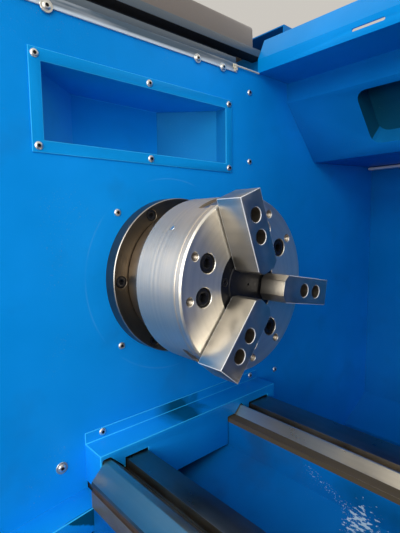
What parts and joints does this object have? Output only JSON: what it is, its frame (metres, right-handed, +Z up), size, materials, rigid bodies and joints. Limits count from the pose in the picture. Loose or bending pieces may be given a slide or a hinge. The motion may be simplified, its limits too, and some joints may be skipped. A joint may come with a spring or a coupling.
{
  "type": "cnc turning lathe",
  "caption": "Enclosed flat-bed turning lathe with a three-jaw power chuck, V-way bed, carriage with an indexing tool turret, tailstock, sliding door and control console.",
  "frame": {"origin": "on the floor, under the centre of the machine's bounding box", "axes": "+X along the spindle from the headstock to the tailstock, +Y to the back of the machine, +Z up"},
  "size_m": [2.4, 1.5016, 1.625],
  "materials": {
    "blue_paint": "semi-gloss paint",
    "grey_paint": "semi-gloss paint",
    "roof_paint": "semi-gloss paint",
    "dark_paint": "satin paint",
    "cast_iron": "machined",
    "bright_steel": "ground",
    "ground_steel": "ground",
    "bronzed_steel": "browned",
    "black_oxide": "black oxide",
    "clear_strip": "milky",
    "window_glass": "clear",
    "lamp_cover": "milky",
    "red_plastic": "gloss",
    "green_plastic": "gloss",
    "black_plastic": "matt",
    "module_plastic": "matt",
    "rubber": "matt"
  },
  "bodies": {
    "machine": {"left_base": "blue_paint", "right_base": "blue_paint", "chip_tray": "blue_paint", "bed": "cast_iron", "headstock_casting": "cast_iron", "front_bearing": "bright_steel", "rear_bearing": "bright_steel", "bearing_cap": "bronzed_steel", "main_motor": "blue_paint", "headstock_wall": "blue_paint", "wall_recess": "blue_paint", "bed_cover": "blue_paint", "roof_channel": "grey_paint", "seal_strip": "clear_strip", "headstock_roof": "roof_paint", "headstock_shell": "grey_paint", "control_modules": "module_plastic", "rear_guard": "blue_paint", "right_wall": "blue_paint", "front_panel": "grey_paint", "lower_door_rail": "ground_steel", "upper_door_rail": "ground_steel", "work_lamp": "lamp_cover", "z_servo_motor": "dark_paint", "coolant_unit": "blue_paint", "console_box": "grey_paint", "drive_belt": "rubber"},
    "spindle_line": {"spindle": "bronzed_steel", "spindle_pulley": "cast_iron", "chuck_body": "bright_steel", "chuck_cover": "black_oxide", "chuck_cylinder": "ground_steel", "draw_tube": "ground_steel"},
    "jaw_1": {"master_jaw_1": "bright_steel", "top_jaw_1": "bright_steel"},
    "jaw_2": {"master_jaw_2": "bright_steel", "top_jaw_2": "bright_steel"},
    "jaw_3": {"master_jaw_3": "bright_steel", "top_jaw_3": "bright_steel"},
    "motor_rotor": {"motor_pulley": "cast_iron"},
    "feed_screw": {"z_ballscrew": "ground_steel"},
    "carriage": {"saddle": "cast_iron", "x_servo_motor": "dark_paint"},
    "slide": {"cross_slide": "cast_iron", "turret_base": "cast_iron"},
    "turret": {"turret_head": "dark_paint", "turning_tool_1": "black_oxide", "turning_tool_2": "black_oxide", "turning_tool_3": "black_oxide"},
    "tailstock": {"tailstock_body": "cast_iron"},
    "quill": {"tailstock_quill": "bright_steel"},
    "centre": {"live_centre": "bright_steel"},
    "handwheel": {"tailstock_handwheel": "dark_paint"},
    "lever": {"clamp_lever": "dark_paint"},
    "door": {"sliding_door": "blue_paint", "door_window": "window_glass"},
    "cabinet_door_leaf": {"cabinet_door": "grey_paint"},
    "stop_button": {"emergency_button": "red_plastic"},
    "cycle_button": {"start_button": "green_plastic"},
    "pulse_wheel": {"pulse_handwheel": "black_plastic"}
  },
  "joints": [
    {"name": "spindle_spin", "type": "hinge", "parent": "machine", "child": "spindle_line", "pos_m": [-0.19, -0.0385, 1.12], "axis": [1, 0, 0], "continuous": true},
    {"name": "jaw_1_slide", "type": "slide", "parent": "spindle_line", "child": "jaw_1", "axis": [0, 0.986, -0.1668], "range_m": [-0.0022, 0.0022]},
    {"name": "jaw_2_slide", "type": "slide", "parent": "spindle_line", "child": "jaw_2", "axis": [0, -0.3486, 0.9373], "range_m": [-0.0022, 0.0022]},
    {"name": "jaw_3_slide", "type": "slide", "parent": "spindle_line", "child": "jaw_3", "axis": [0, -0.6374, -0.7705], "range_m": [-0.0022, 0.0022]},
    {"name": "motor_spin", "type": "hinge", "parent": "machine", "child": "motor_rotor", "pos_m": [-0.88, -0.0385, 0.215], "axis": [1, 0, 0], "continuous": true},
    {"name": "z_screw_spin", "type": "hinge", "parent": "machine", "child": "feed_screw", "pos_m": [-0.26, -0.2885, 0.703], "axis": [1, 0, 0], "range_deg": [-12240, 6120]},
    {"name": "carriage_slide", "type": "slide", "parent": "machine", "child": "carriage", "axis": [1, 0, 0], "range_m": [-0.34, 0.17]},
    {"name": "cross_slide_feed", "type": "slide", "parent": "carriage", "child": "slide", "axis": [0, 1, 0], "range_m": [-0.03, 0.145]},
    {"name": "turret_index", "type": "hinge", "parent": "slide", "child": "turret", "pos_m": [0.33, -0.2735, 1.06], "axis": [0, 0, 1], "continuous": true},
    {"name": "tailstock_slide", "type": "slide", "parent": "machine", "child": "tailstock", "axis": [1, 0, 0], "range_m": [-0.15, 0]},
    {"name": "handwheel_spin", "type": "hinge", "parent": "tailstock", "child": "handwheel", "pos_m": [1.09, -0.0385, 1.12], "axis": [1, 0, 0], "range_deg": [-7200, 0]},
    {"name": "quill_slide", "type": "slide", "parent": "tailstock", "child": "quill", "axis": [1, 0, 0], "range_m": [-0.1, 0]},
    {"name": "live_centre_spin", "type": "hinge", "parent": "quill", "child": "centre", "pos_m": [0.81, -0.0385, 1.12], "axis": [1, 0, 0], "continuous": true},
    {"name": "clamp_lever_turn", "type": "hinge", "parent": "tailstock", "child": "lever", "pos_m": [0.93, -0.1035, 1.15], "axis": [0, 1, 0], "range_deg": [-70, 0]},
    {"name": "door_slide", "type": "slide", "parent": "machine", "child": "door", "axis": [1, 0, 0], "range_m": [0, 0.845]},
    {"name": "cabinet_door_hinge", "type": "hinge", "parent": "machine", "child": "cabinet_door_leaf", "pos_m": [-1.193, 0.7438, 1.12], "axis": [0, 0, 1], "range_deg": [0, 110]},
    {"name": "emergency_button_push", "type": "slide", "parent": "machine", "child": "stop_button", "axis": [0, 1, 0], "range_m": [0, 0.004]},
    {"name": "start_button_push", "type": "slide", "parent": "machine", "child": "cycle_button", "axis": [0, 1, 0], "range_m": [0, 0.003], "stiffness_N_per_m": 200},
    {"name": "pulse_handwheel_spin", "type": "hinge", "parent": "machine", "child": "pulse_wheel", "pos_m": [0.916, -0.7188, 1.162], "axis": [0, 1, 0], "continuous": true}
  ],
  "couplings": [
    {"joint": "jaw_2_slide", "follows": "jaw_1_slide", "ratio": 1},
    {"joint": "jaw_3_slide", "follows": "jaw_1_slide", "ratio": 1},
    {"joint": "motor_spin", "follows": "spindle_spin", "ratio": 1.6923},
    {"joint": "z_screw_spin", "follows": "carriage_slide", "rad_per_m": 628.32},
    {"joint": "quill_slide", "follows": "handwheel_spin", "m_per_rad": 0.00079577}
  ]
}
